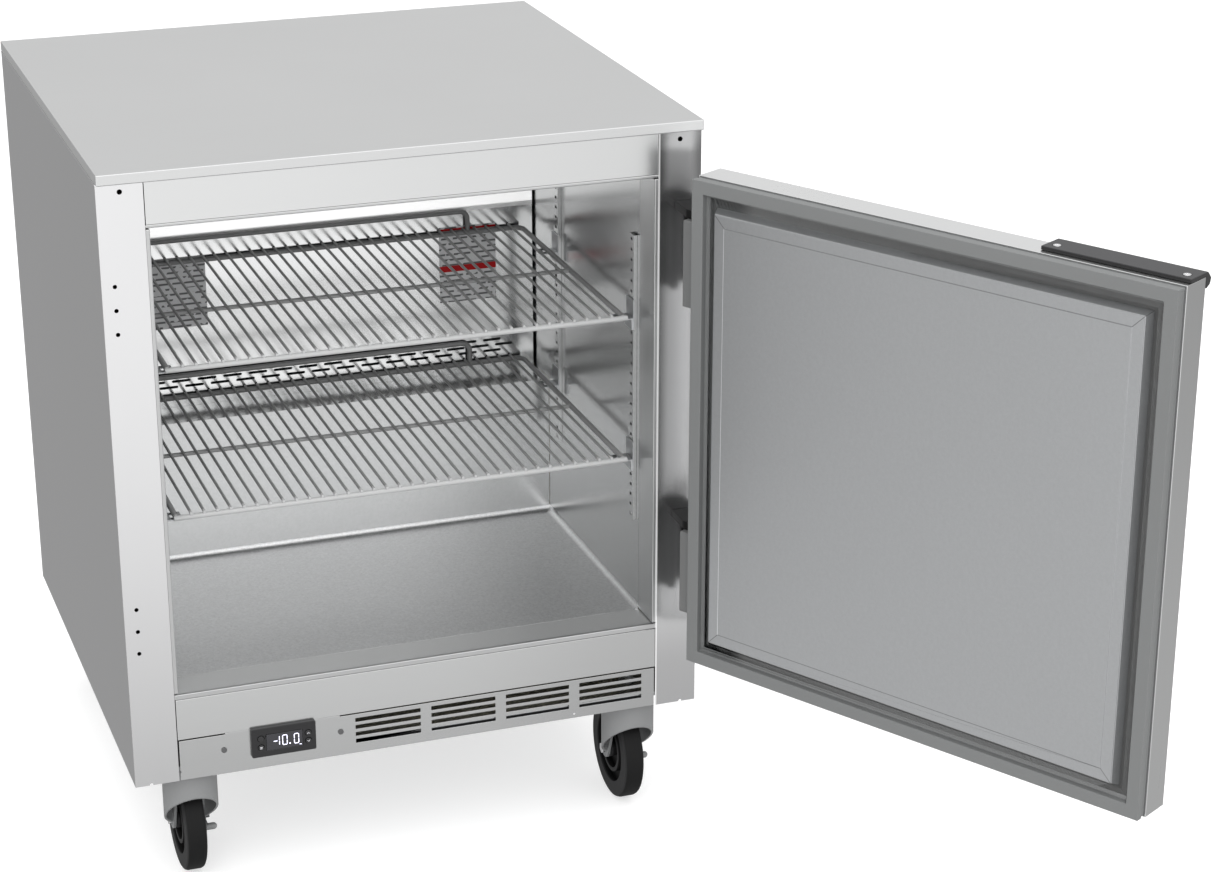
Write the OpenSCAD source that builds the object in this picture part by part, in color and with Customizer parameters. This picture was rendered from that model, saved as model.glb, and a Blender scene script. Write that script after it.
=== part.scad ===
// Undercounter refrigerator: a single-door stainless cabinet on four swivel casters.
// The door is hinged on the right and is modelled standing open.
// Millimetres. +Z is up, +X is to the right seen from the front, the front faces -Y.
// The origin is on the floor, below the middle of the front frame (y = 0 is its face).

/* [Cabinet] */
// Width of the worktop slab
worktop_w = 684.6; // [600:0.1:800]
// Depth of the worktop slab
worktop_d = 648; // [550:0.5:750]
// Thickness of the worktop slab
worktop_t = 12; // [8:0.5:40]
// Height of the worktop above the floor
height = 877; // [800:1:950]
// Height of the cabinet's lower edge above the floor
base_z = 152; // [100:1:180]
// How far the worktop stands out in front of the frame
front_overhang = 8.4; // [0:0.1:30]
// Width across the two side panels
case_w = 684.8; // [600:0.1:800]
// Depth from the front frame to the rear panel's outer face
case_d = 638.6; // [500:0.1:750]
// Thickness of the outer sheet
sheet = 1.2; // [0.8:0.1:2]
// Width of each front stile
stile_w = 50.8; // [35:0.1:70]
// Height of the top rail's lower edge
rail_z = 816; // [780:0.5:840]
// Height of the lower rail's top edge
sill_z = 253.8; // [230:0.5:280]
// Height of the lower rail's bottom edge
sill_low_z = 203.5; // [190:0.5:215]

/* [Interior] */
// Clear width between the liner walls
inner_w = 573.6; // [500:0.1:620]
// Height of the inner floor
floor_z = 260.5; // [240:0.5:300]
// Height of the inner ceiling
ceiling_z = 812; // [780:0.5:830]
// Depth of the thermal breaker strips round the opening
breaker_d = 48; // [30:1:60]
// Depth to the air duct panel, the upper rear wall
duct_y = 438; // [400:1:480]
// Height from which the duct panel stands forward
duct_step_z = 661; // [600:1:720]
// Depth to the lower rear wall, in front of the machine compartment
step_y = 382; // [340:1:420]
// Height of the ledge on top of the lower rear wall
ledge_z = 443; // [380:1:480]
// Thickness of the inner sheet
liner_t = 1.2; // [0.8:0.1:2]
// Depth to the rear wall of the evaporator chamber
chamber_y = 596; // [560:1:610]

/* [Shelves] */
// Height of the upper shelf's frame wire
shelf_hi = 633.4; // [500:0.1:720]
// Height of the lower shelf's frame wire
shelf_lo = 457; // [380:0.1:520]
// Width across the shelf
shelf_w = 542.4; // [500:0.1:560]
// Front of the shelf
shelf_front = 44; // [40:1:60]
// Rear of the shelf
shelf_rear = 437; // [400:1:440]
// Spacing of the deck wires
wire_pitch = 15.25; // [12:0.05:30]
// Diameter of the deck wires
wire_d = 3.4; // [2:0.1:5]
// Diameter of the frame wires
frame_d = 6.4; // [5:0.1:10]
// Rise of the rear guard wire
guard_rise = 28; // [15:0.1:50]
// Left end of the guard wire
guard_left = -228.8; // [-240:0.1:-200]
// Right end of the guard wire
guard_right = 196.4; // [180:0.1:240]
// How far a shelf slides out
shelf_travel = 330; // [100:10:350]

/* [Door] */
// Angle the door stands open
door_open = 120; // [0:5:120]
// Width of the door
door_w = 612.2; // [560:0.1:640]
// Height of the door's lower edge
door_low = 239.7; // [230:0.1:250]
// Height of the door's upper edge
door_high = 829.2; // [815:0.1:840]
// Thickness of the door without its gasket
door_t = 37; // [30:0.5:60]
// Gap from the frame to the door's inner face
door_gap = 15; // [12:0.1:20]
// Projection of the gasket from the inner face
gasket_t = 14.5; // [10:0.1:18]
// Width of the gasket's flat band
gasket_w = 15.7; // [10:0.1:22]
// Inset of the raised inner panel from the door's edge
pan_inset = 34.6; // [28:0.1:60]
// Projection of the raised inner panel
pan_rise = 17; // [10:0.5:30]
// How far the raised panel's sides slope outward
pan_slope = 6.4; // [0:0.1:7]
// Hinge axis to the right of the centre
hinge_x = 324.3; // [315:0.1:335]
// Hinge axis in front of the frame
hinge_y = -34.5; // [-50:0.1:-20]
// Height of each hinge's door arm
arm_h = 101.8; // [60:0.1:150]
// How far an arm's middle sits below the middle screw of its group
arm_drop = 2.1; // [0:0.1:10]

/* [Hinge screws] */
// Distance of the screw line from the centre
screw_x = 328; // [320:0.5:336]
// Spacing of the three screws of a group
screw_pitch = 27; // [20:0.5:40]
// Middle screw of the upper group
screw_hi_z = 724.1; // [650:0.1:780]
// Middle screw of the lower group
screw_lo_z = 345.9; // [280:0.1:400]
// Radius of the screw holes
screw_hole_r = 2.4; // [1.5:0.1:4]

/* [Casters] */
// Side offset of the swivel axes
caster_x = 272; // [220:1:300]
// Depth of the front swivel axes
caster_front_y = 44; // [40:1:80]
// Depth of the rear swivel axes
caster_rear_y = 560; // [480:1:575]
// Radius of the wheel
wheel_r = 63.5; // [40:0.5:70]
// Width of the wheel
wheel_w = 24; // [18:0.5:35]
// Trail of the wheel axle behind the swivel axis
trail = 33.3; // [20:0.1:45]
// Outer radius of the fork's hood
hood_r = 32; // [28:0.5:40]

/* [Front grille] */
// Height of the grille panel's top edge
grille_z = 202; // [195:0.5:210]
// Width of a louvre slot
slot_w = 78.9; // [40:0.1:100]
// Height of a louvre slot
slot_h = 5; // [3:0.1:8]
// Vertical spacing of the louvre slots
slot_dz = 9; // [7:0.1:12]
// Left edge of the first bank of slots
bank_x = -81.8; // [-100:0.1:-60]
// Sideways spacing of the banks
bank_dx = 92.15; // [85:0.05:100]
// Top edge of the highest slot
slot_top_z = 196.7; // [190:0.1:200]

/* [Hidden] */
gap = 0.1;
seam = 0.9;
inner_x = inner_w/2;
case_x = case_w/2;
stile_x = case_x - stile_w;
shelf_x = shelf_w/2 - frame_d/2;
door_x = door_w/2;
door_in = -door_gap;
door_out = door_in - door_t;
axle_z = wheel_r;
pan_z = 166;
caster_at = [[-caster_x, caster_front_y], [caster_x, caster_front_y],
             [-caster_x, caster_rear_y], [caster_x, caster_rear_y]];
duct_slots = 15;
duct_pitch = 32.57;
pilaster_y = [64, 337];
pilaster_low = 374;
pilaster_high = 729;
clip_z = [shelf_hi, shelf_lo];
bezel = [-206.6, -130.4, 168, 204.5];
button_at = [[-195.6, 191.6], [-195.6, 180.3], [-139.6, 190.4], [-139.6, 180.4]];
button_r = 3.6;

$fn = 64;

// ---- helpers ----

module block(x0, x1, y0, y1, z0, z1) {
  translate([x0, y0, z0]) cube([x1 - x0, y1 - y0, z1 - z0]);
}

// A profile drawn in Y and Z, run along X from x0 to x1.
module along_x(x0, x1) {
  translate([x0, 0, 0]) rotate([90, 0, 90]) linear_extrude(height = x1 - x0) children();
}

// A profile drawn in X and Z, run along Y from y0 to y1.
module along_y(y0, y1) {
  translate([0, y1, 0]) rotate([90, 0, 0]) linear_extrude(height = y1 - y0) children();
}

module rod_x(x0, x1, y, z, r) {
  translate([x0, y, z]) rotate([0, 90, 0]) cylinder(h = x1 - x0, r = r);
}

module rod_y(x, y0, y1, z, r) {
  translate([x, y0, z]) rotate([-90, 0, 0]) cylinder(h = y1 - y0, r = r);
}

module rod_z(x, y, z0, z1, r) {
  translate([x, y, z0]) cylinder(h = z1 - z0, r = r);
}

module mirrored_x() {
  children();
  mirror([1, 0, 0]) children();
}

module rounded_rect(w, h, r) {
  square([w - 2*r, h], center = true);
  square([w, h - 2*r], center = true);
  for (sx = [-1, 1], sz = [-1, 1])
    translate([sx*(w/2 - r), sz*(h/2 - r)]) circle(r = r);
}

module oblong(l, h) {
  square([l - h, h], center = true);
  for (s = [-1, 1]) translate([s*(l - h)/2, 0]) circle(r = h/2);
}

// The door is drawn closed and turned open about the hinge axis.
module on_door() {
  translate([hinge_x, hinge_y, 0]) rotate([0, 0, door_open])
    translate([-hinge_x, -hinge_y, 0]) children();
}

module screw_holes(x) {
  for (z0 = [screw_hi_z, screw_lo_z], k = [-1, 0, 1])
    rod_y(x, -1, 40, z0 + k*screw_pitch, screw_hole_r);
}

// ---- cabinet ----

module worktop() {
  color("gainsboro") difference() {
    block(-worktop_w/2, worktop_w/2, -front_overhang, worktop_d - front_overhang,
          height - worktop_t + gap, height);
    block(-worktop_w/2 + 1.5, worktop_w/2 - 1.5, 1.5 - front_overhang,
          worktop_d - front_overhang - 1.5, height - worktop_t - 1, height - 1.5);
  }
}

module side_panel() {
  color("silver") difference() {
    union() {
      block(-case_x, -case_x + sheet, 0, case_d - sheet - gap, base_z, height - worktop_t);
      block(-case_x, -stile_x, 0, sheet, base_z, height - worktop_t);
      block(-stile_x - sheet, -stile_x, 0, 10, sill_low_z, height - worktop_t);
      block(-case_x, -case_x + 14, 0, case_d - sheet - gap, height - worktop_t - sheet,
            height - worktop_t);
      rod_y(-case_x + 0.35, 0.6, case_d - 2, height - worktop_t - 0.85, 0.85);
    }
    screw_holes(-screw_x);
    rod_y(-316.7, -1, 5, height - 22, 2.9);
    rod_y(-323.7, -1, 5, base_z + 0.5, 2);
  }
}

module side_panel_left() { side_panel(); }
module side_panel_right() { mirror([1, 0, 0]) side_panel(); }

module back_panel() {
  color("silver")
    block(-case_x, case_x, case_d - sheet, case_d, 400.2, height - worktop_t - gap);
}

module base_pan() {
  color("silver") difference() {
    union() {
      block(-case_x + sheet + gap, case_x - sheet - gap, 4, case_d - sheet - gap,
            pan_z, pan_z + 2);
      for (s = [-1, 1])
        block(s*(case_x - 3.4) - 1, s*(case_x - 3.4) + 1, 4, case_d - sheet - gap,
              pan_z - 12, pan_z + 2);
    }
    for (p = caster_at) rod_z(p[0], p[1], pan_z - 1, pan_z + 3, 12);
  }
}

module top_rail() {
  color("gainsboro") {
    block(-stile_x + seam, stile_x - seam, 0, sheet, rail_z, height - worktop_t - gap);
    block(-stile_x + 2, stile_x - 2, sheet, 20, rail_z, rail_z + sheet);
  }
}

module lower_rail() {
  color("gainsboro") {
    block(-stile_x + seam, stile_x - seam, 0, sheet, sill_low_z, sill_z);
    block(-stile_x + 2, stile_x - 2, sheet, 20, sill_z - sheet, sill_z);
    block(-stile_x + 2, stile_x - 2, sheet, 20, sill_low_z, sill_low_z + sheet);
  }
}

module breaker_strips() {
  color("lightgray") {
    mirrored_x()
      block(-stile_x + gap, -inner_x, 0.3, breaker_d, floor_z + 1.2, rail_z - 5.2);
    block(-stile_x + gap, stile_x - gap, 0.3, breaker_d, ceiling_z, rail_z - gap);
    block(-stile_x + gap, stile_x - gap, 0.3, breaker_d, sill_z + gap, floor_z);
  }
}

module grille_panel() {
  color("silver") difference() {
    union() {
      block(-289.8, 289.8, 0, sheet, base_z, grille_z);
      block(-236, -100, 0, sheet, grille_z - 1, sill_low_z - gap);
      block(-288, 288, sheet, 3.6, base_z, base_z + sheet);
    }
    for (b = [0:3], s = [0:3])
      block(bank_x + b*bank_dx, bank_x + b*bank_dx + slot_w, -1, 5,
            slot_top_z - s*slot_dz - slot_h, slot_top_z - s*slot_dz);
    block(bezel[0] + 3, bezel[1] - 3, -1, 20, bezel[2] + 3, bezel[3] - 3);
    for (x = [-238, -99.7]) rod_y(x, -1, 5, 182.5, 2.1);
    rod_y(188.3, -1, 5, 157, 1.3);
    for (s = [-1, 1]) rod_y(s*290.6, -1, 5, 162.4, 1.9);
  }
}

module panel_screws() {
  color("dimgray") for (x = [-238, -99.7]) {
    rod_y(x, -1.4, 0, 182.5, 3.4);
    rod_y(x, 0, 12, 182.5, 2);
  }
}

// ---- controller ----

module controller_body() {
  cx = (bezel[0] + bezel[1])/2;
  cz = (bezel[2] + bezel[3])/2;
  color("black") difference() {
    union() {
      translate([cx, 0, cz]) along_y(-5, 0)
        rounded_rect(bezel[1] - bezel[0], bezel[3] - bezel[2], 2);
      block(bezel[0] + 3.2, bezel[1] - 3.2, 0, 60, bezel[2] + 3.2, 196);
    }
    block(-189.3, -146.5, -6, -3.4, 175.4, 195.9);
    for (p = button_at) rod_y(p[0], -6, -1, p[1], button_r + 0.3);
  }
}

module controller_window() {
  color("dimgray") block(-189.2, -146.6, -5.2, -3.4, 175.5, 195.8);
}

module button_at_index(i) {
  color("dimgray") rod_y(button_at[i][0], -5.8, -2.4, button_at[i][1], button_r);
}

module button_set() { button_at_index(0); }
module button_light() { button_at_index(1); }
module button_up() { button_at_index(2); }
module button_down() { button_at_index(3); }

// ---- liner ----

module liner_wall_profile() {
  polygon([[breaker_d + gap, floor_z - 3], [step_y - gap, floor_z - 3],
    [step_y - gap, ledge_z + gap], [chamber_y - gap, ledge_z + gap],
    [chamber_y - gap, ceiling_z - gap], [breaker_d + gap, ceiling_z - gap]]);
}

module liner_shell() {
  color("silver") {
    mirrored_x() along_x(inner_x, inner_x + liner_t) liner_wall_profile();
    block(-inner_x - liner_t, inner_x + liner_t, breaker_d + gap, chamber_y - gap,
          ceiling_z, ceiling_z + liner_t);
  }
}

// Quarter-round filler that gives the floor its coved edges.
module cove(r) {
  difference() {
    square(r);
    translate([r, r]) circle(r = r);
  }
}

module liner_floor() {
  color("silver") {
    block(-inner_x + gap, inner_x - gap, breaker_d + gap, step_y - 2*gap,
          floor_z - liner_t, floor_z);
    mirrored_x() translate([-inner_x + gap, 0, floor_z])
      along_y(breaker_d + gap, step_y - 2*gap) cove(7);
    translate([0, step_y - 2*gap, floor_z])
      along_x(-inner_x + gap, inner_x - gap) mirror([1, 0]) cove(7);
  }
}

module liner_back() {
  color("silver") {
    block(-inner_x + gap, inner_x - gap, step_y, step_y + liner_t, floor_z - 3, ledge_z);
    block(-inner_x + gap, inner_x - gap, step_y + liner_t, chamber_y, ledge_z - liner_t,
          ledge_z);
    block(-inner_x + gap, inner_x - gap, chamber_y, chamber_y + liner_t,
          ledge_z - liner_t, ceiling_z);
  }
}

module cabinet_insulation() {
  color("moccasin") difference() {
    along_x(-case_x + sheet + gap, case_x - sheet - gap)
      polygon([[12, 205], [425, 205], [425, 400], [case_d - 1.5, 400],
        [case_d - 1.5, height - worktop_t - 1.4], [12, height - worktop_t - 1.4]]);
    along_x(-inner_x - liner_t - gap, inner_x + liner_t + gap)
      polygon([[0, floor_z - 3.2], [step_y + liner_t + gap, floor_z - 3.2],
        [step_y + liner_t + gap, ledge_z - liner_t - gap],
        [chamber_y + liner_t + gap, ledge_z - liner_t - gap],
        [chamber_y + liner_t + gap, ceiling_z + liner_t + gap],
        [0, ceiling_z + liner_t + gap]]);
    block(-stile_x - gap, stile_x + gap, 0, breaker_d + gap, sill_z - 1.4, rail_z + 1.4);
    mirrored_x() {
      screw_holes(screw_x);
      rod_y(316.7, -1, 40, height - 22, 3.2);
    }
  }
}

// ---- cooling air duct ----

module air_duct_panel() {
  half = inner_x - 2.6;
  front = duct_y - 0.6;
  color("gainsboro") {
    block(-half, half, front, duct_y, duct_step_z, duct_step_z + liner_t);
    along_y(front, front + liner_t) difference() {
      translate([-half, duct_step_z]) square([2*half, ceiling_z - gap - duct_step_z]);
      for (k = [-4:4]) translate([k*58, 788]) oblong(40, 10);
    }
  }
  color("gainsboro") along_y(duct_y, duct_y + liner_t) difference() {
    translate([-half, ledge_z + gap]) square([2*half, duct_step_z + liner_t - ledge_z - gap]);
    for (k = [0:duct_slots - 1], z = [484.5, 469.8])
      translate([(k - (duct_slots - 1)/2)*duct_pitch, z]) oblong(24, 3.4);
    for (k = [0:duct_slots])
      translate([(k - duct_slots/2)*duct_pitch, 477.2]) oblong(24, 3.4);
  }
}

module label_plates() {
  color("lightgray") {
    block(-216, -141.5, duct_y - 0.5, duct_y, 547, 638);
    block(159.8, 234.8, duct_y - 0.5, duct_y, 541.5, 641.4);
  }
}

// Finned coil: fins across X with serpentine tubes along X.
module finned_coil(x0, x1, y0, y1, z0, z1, fins, rows) {
  for (k = [0:fins - 1])
    block(x0 + 8 + k*(x1 - x0 - 17)/(fins - 1), x0 + 9 + k*(x1 - x0 - 17)/(fins - 1),
          y0, y1, z0, z1);
  for (s = [0, 1]) block(x0 + s*(x1 - x0 - 2), x0 + 2 + s*(x1 - x0 - 2), y0, y1, z0, z1);
  for (r = [0:rows - 1])
    rod_x(x0 - 8, x1 + 8, (y0 + y1)/2, z0 + (r + 0.5)*(z1 - z0)/rows, 4.8);
  for (r = [0:rows - 2], s = [0, 1])
    if ((r + s) % 2 == 0)
      rod_z(s == 0 ? x0 - 8 : x1 + 8, (y0 + y1)/2,
            z0 + (r + 0.5)*(z1 - z0)/rows - 5.6, z0 + (r + 1.5)*(z1 - z0)/rows + 5.6, 5.6);
}

module evaporator_coil() {
  color("lightsteelblue")
    finned_coil(-230, 230, 500, 560, ledge_z + 6, ledge_z + 156, 24, 4);
}

module fan_motor(x, y0, z) {
  rod_y(x, y0, y0 + 42, z, 24);
  rod_y(x, y0 - 26, y0, z, 3);
  for (a = [0, 90])
    translate([x, y0 + 30, z]) rotate([0, a, 0]) translate([-64, -2, -4]) cube([128, 4, 8]);
}

module fan_blades(x, y, z, r) {
  translate([x, y, z]) rotate([90, 0, 0]) difference() {
    union() {
      translate([0, 0, -8]) cylinder(h = 16, r = 16);
      for (a = [0:72:288]) rotate([0, 0, a]) translate([14, 0, 0]) rotate([28, 0, 0])
        translate([0, -17, -0.8]) cube([r - 15, 34, 1.6]);
    }
    translate([0, 0, -9]) cylinder(h = 18, r = 3.05);
  }
}

module evaporator_fan_motor() { color("dimgray") fan_motor(0, 530, 700); }
module evaporator_fan() { color("gray") fan_blades(0, 516, 700, 70); }

// ---- shelves ----

module pilasters() {
  color("silver") mirrored_x() for (y = pilaster_y) difference() {
    block(inner_x - 4.5, inner_x - gap, y - 8, y + 8, pilaster_low, pilaster_high);
    block(inner_x - 3.3, inner_x + 1, y - 6.8, y + 6.8, pilaster_low - 1,
          pilaster_high + 1);
    for (k = [0:27])
      block(inner_x - 6, inner_x - 2, y - 3.2, y + 3.2, pilaster_low + 4.5 + k*12.7,
            pilaster_low + 7.9 + k*12.7);
  }
}

module shelf_clip(y, z) {
  under = z - frame_d/2 - 0.4;
  difference() {
    union() {
      block(inner_x - 6.3, inner_x - 4.6, y - 12, y + 12, under - 14, under + 22);
      block(inner_x - 27, inner_x - 6, y - 11, y + 11, under - 1.6, under);
      along_x(inner_x - 8, inner_x - 6.3)
        polygon([[y - 12, under - 14], [y + 12, under - 14], [y + 11, under], [y - 11, under]]);
    }
    block(inner_x - 22, inner_x - 14, y - 4, y + 4, under - 3, under + 1);
  }
}

module shelf_clips() {
  color("gainsboro") mirrored_x()
    for (y = pilaster_y, z = clip_z) shelf_clip(y, z);
}

module quarter_bend(x, y, z, r, a) {
  translate([x, y, z]) rotate([0, 0, a]) rotate_extrude(angle = 90)
    translate([r, 0]) circle(r = frame_d/2);
}

module shelf(z) {
  fr = frame_d/2;
  front = shelf_front + fr;
  rear = shelf_rear - fr;
  bend = 12;
  deck = z + fr + wire_d/2 - 0.5;
  n = floor((shelf_x - 10)/wire_pitch);
  rod_x(-shelf_x - fr, shelf_x + fr, front, z, fr);
  rod_x(-shelf_x + bend, shelf_x - bend, rear, z, fr);
  rod_x(-shelf_x, shelf_x, 240, z, 2.6);
  for (s = [-1, 1]) {
    rod_y(s*shelf_x, front, rear - bend, z, fr);
    quarter_bend(s*(shelf_x - bend), rear - bend, z, bend, s > 0 ? 0 : 90);
  }
  for (k = [-n:n + 1])
    rod_y((k - 0.5)*wire_pitch, shelf_front + 0.8, shelf_rear - 0.8, deck, wire_d/2);
  for (e = [[guard_left, 1, 90], [guard_right, -1, 0]]) {
    rod_z(e[0], rear, z + fr + gap, z + guard_rise - 10, fr);
    translate([e[0] + e[1]*10, rear, z + guard_rise - 10]) rotate([90, 0, 0])
      rotate([0, 0, e[2]]) rotate_extrude(angle = 90) translate([10, 0]) circle(r = fr);
  }
  rod_x(guard_left + 10, guard_right - 10, rear, z + guard_rise, fr);
}

module shelf_upper() { color("gainsboro") shelf(shelf_hi); }
module shelf_lower() { color("gainsboro") shelf(shelf_lo); }

// ---- machine compartment ----

module compressor() {
  color("black") translate([170, 530, pan_z + 2 + gap]) {
    difference() {
      translate([-95, -60, 0]) cube([190, 120, 3]);
      for (sx = [-1, 1], sy = [-1, 1])
        translate([sx*84, sy*50, -1]) cylinder(h = 5, r = 5);
    }
    rotate_extrude() polygon([[0, 3], [62, 3], [72, 14], [75, 30], [75, 82], [79, 84],
      [79, 90], [75, 92], [75, 120], [66, 150], [44, 166], [0, 170]]);
    translate([-30, -98, 50]) cube([60, 30, 56]);
  }
}

module condenser_coil() {
  color("lightsteelblue")
    finned_coil(-290, -60, 440, 478, pan_z + 8, pan_z + 208, 20, 5);
}

module condenser_fan_motor() { color("dimgray") fan_motor(-175, 520, pan_z + 108); }
module condenser_fan() { color("gray") fan_blades(-175, 506, pan_z + 108, 80); }

module rear_grille() {
  color("silver") difference() {
    union() {
      block(-case_x, case_x, case_d - sheet, case_d, pan_z - 14, 400);
      block(-case_x + 8, case_x - 8, case_d - 12, case_d - sheet, pan_z + 2 + gap,
            pan_z + 4);
    }
    for (s = [0:9], b = [-1, 1])
      block(b*160 - 120, b*160 + 120, case_d - 3, case_d + 1, 200 + s*18, 206 + s*18);
  }
}

// ---- hinges ----

module hinge_plates() {
  color("gray") for (z0 = [screw_hi_z, screw_lo_z]) {
    lug = z0 - arm_drop + arm_h/2 + 0.8;
    difference() {
      block(hinge_x - 1.3, case_x - 0.6, -3, 0, z0 - 40, lug + 10);
      for (k = [-1, 0, 1]) rod_y(screw_x, -4, 1, z0 + k*screw_pitch, screw_hole_r + 0.2);
    }
    difference() {
      union() {
        block(hinge_x - 13.3, case_x - 1.4, hinge_y, -0.1, lug, lug + 10);
        rod_z(hinge_x, hinge_y, lug, lug + 10, 13.3);
      }
      rod_z(hinge_x, hinge_y, z0 - 80, z0 + 80, 3.6);
    }
  }
}

module hinge_pins() {
  color("silver") for (z0 = [screw_hi_z, screw_lo_z]) {
    mid = z0 - arm_drop;
    rod_z(hinge_x, hinge_y, mid - arm_h/2 - 2.4, mid + arm_h/2 + 10.9, 3.55);
    rod_z(hinge_x, hinge_y, mid - arm_h/2 - 2.6, mid - arm_h/2 - 0.4, 5);
    rod_z(hinge_x, hinge_y, mid + arm_h/2 + 10.9, mid + arm_h/2 + 11.9, 5);
    for (k = [-1, 0, 1]) {
      rod_y(screw_x, -5, -3, z0 + k*screw_pitch, 4.2);
      rod_y(screw_x, -3, 14, z0 + k*screw_pitch, screw_hole_r - 0.1);
    }
  }
}

// ---- door ----

module door_skin() {
  color("silver") on_door() difference() {
    block(-door_x, door_x, door_out, door_in, door_low, door_high);
    block(-door_x + sheet, door_x - sheet, door_out + sheet, door_in + 1,
          door_low + sheet, door_high - sheet);
  }
}

module door_foam() {
  color("moccasin") on_door()
    block(-door_x + sheet + gap, door_x - sheet - gap, door_out + sheet + gap,
          door_in - sheet - gap, door_low + sheet + gap, door_high - sheet - gap);
}

// A block on the door's inner face that narrows from one inset to another.
module pan_frustum(inset_low, inset_high, y0, y1) {
  hull() for (e = [[inset_low, y0, y0 + 0.2], [inset_high, y1 - 0.2, y1]])
    block(-door_x + e[0], door_x - e[0], e[1], e[2], door_low + e[0], door_high - e[0]);
}

// Inner pan: flat rim, raised field with sloped sides and a shallow border round it.
module door_liner() {
  in = pan_inset;
  y1 = door_in + pan_rise;
  color("gainsboro") on_door() {
    block(-door_x + sheet + gap, door_x - sheet - gap, door_in - sheet, door_in,
          door_low + sheet + gap, door_high - sheet - gap);
    difference() {
      pan_frustum(in - pan_slope, in, door_in - gap, y1 - 1.2);
      pan_frustum(in - pan_slope + 1.4, in + 1.4, door_in - 1, y1 - 2.4);
    }
    block(-door_x + in + 0.6, door_x - in - 0.6, y1 - 1.3, y1 - 0.6, door_low + in + 0.6,
          door_high - in - 0.6);
    block(-door_x + in + 14, door_x - in - 14, y1 - 0.7, y1, door_low + in + 14,
          door_high - in - 14);
  }
}

// One flat ring of the gasket, inset from the door's edge on both sides of its width.
module gasket_ring(inset, w, y0, y1) {
  difference() {
    block(-door_x + inset, door_x - inset, y0, y1, door_low + inset, door_high - inset);
    block(-door_x + inset + w, door_x - inset - w, y0 - 1, y1 + 1,
          door_low + inset + w, door_high - inset - w);
  }
}

module door_gasket() {
  color("gray") on_door() {
    gasket_ring(1, gasket_w, door_in + 6.5, door_in + gasket_t);
    gasket_ring(3.2, gasket_w + 1, door_in + 5.5, door_in + 6.5);
    gasket_ring(2, 25.6, door_in + gap, door_in + 5.5);
  }
}

module door_hinge_arms() {
  color("gray") on_door() for (mid = [screw_hi_z - arm_drop, screw_lo_z - arm_drop])
    difference() {
      union() {
        block(door_x + gap, hinge_x + 4, hinge_y - 1, door_in, mid - arm_h/2, mid + arm_h/2);
        rod_z(hinge_x, hinge_y, mid - arm_h/2, mid + arm_h/2, 6);
        block(door_x + gap, door_x + 4, door_out + 2, door_in - 1, mid - arm_h/2,
              mid + arm_h/2);
      }
      rod_z(hinge_x, hinge_y, mid - arm_h, mid + arm_h, 3.6);
    }
}

// Angled pull screwed to the door's top edge at the free end.
module door_handle() {
  color("black") on_door() difference() {
    along_x(-door_x + 0.2, -door_x + 174)
      polygon([[door_in - 8, door_high + gap], [door_in - 8, door_high + 4.6],
        [door_out - 5, door_high + 4.6], [door_out - 12, door_high - 3],
        [door_out - 10, door_high - 9.5], [door_out - 3, door_high - 13],
        [door_out - 0.4, door_high - 11], [door_out - 0.4, door_high + gap]]);
    for (x = [12, 162]) {
      rod_z(-door_x + x, door_in - 20, door_high - 1, door_high + 6, 2.2);
      rod_z(-door_x + x, door_in - 20, door_high + 2.6, door_high + 6, 4.4);
    }
  }
}

module handle_screws() {
  color("white") on_door() for (x = [12, 162]) difference() {
    union() {
      rod_z(-door_x + x, door_in - 20, door_high + 2.6, door_high + 5, 4.3);
      rod_z(-door_x + x, door_in - 20, door_high + gap, door_high + 2.6, 2.1);
    }
    for (a = [20, 110]) translate([-door_x + x, door_in - 20, door_high + 5])
      rotate([0, 0, a]) cube([5, 1.1, 2], center = true);
  }
}

// ---- casters ----

module caster_plates() {
  color("silver") for (p = caster_at) difference() {
    union() {
      translate([p[0] - 38, p[1] - 38, pan_z - 4]) cube([76, 76, 4 - gap]);
      rod_z(p[0], p[1], pan_z - 8, pan_z - 4, 24);
    }
    rod_z(p[0], p[1], pan_z - 10, pan_z + 2, 6.05);
  }
}

// Hooded fork: a tube cut on a 45 degree slope, closed on top, with a leg on each
// side that carries the axle.
module fork(i) {
  hood_top = pan_z - 8.4;
  cut = hood_top - 38;
  color("gray") translate([caster_at[i][0], caster_at[i][1], 0]) difference() {
    union() {
      difference() {
        cylinder(h = hood_top, r = hood_r);
        translate([0, 0, -1]) cylinder(h = hood_top - 3, r = hood_r - 3);
        along_x(-40, 40) polygon([[-hood_r - 1, cut + 1], [hood_r + 1, cut - 2*hood_r - 1],
          [hood_r + 1, -2], [-hood_r - 1, -2]]);
        translate([-14.4, -20, -1]) cube([28.8, 60, 132]);
      }
      for (x = [-18, 14.5]) along_x(x, x + 3.5) {
        polygon([[-14, hood_top - 3], [24, hood_top - 3], [trail + 11.4, axle_z + 4],
          [trail - 11.4, axle_z - 4]]);
        translate([trail, axle_z]) circle(r = 12);
      }
      translate([0, 0, hood_top - 1]) cylinder(h = 11, r = 6);
    }
    rod_x(-30, 30, trail, axle_z, 4.05);
  }
}

module fork_front_left() { fork(0); }
module fork_front_right() { fork(1); }
module fork_rear_left() { fork(2); }
module fork_rear_right() { fork(3); }

module axle(i) {
  color("silver") translate([caster_at[i][0], caster_at[i][1] + trail, axle_z])
    rotate([0, 90, 0]) {
      translate([0, 0, -20]) cylinder(h = 43, r = 4);
      translate([0, 0, -22.2]) cylinder(h = 4.1, r = 7, $fn = 6);
      translate([0, 0, i < 2 ? 22.6 : 18.2]) cylinder(h = 4, r = 7, $fn = 6);
    }
}

module axle_front_left() { axle(0); }
module axle_front_right() { axle(1); }
module axle_rear_left() { axle(2); }
module axle_rear_right() { axle(3); }

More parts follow.
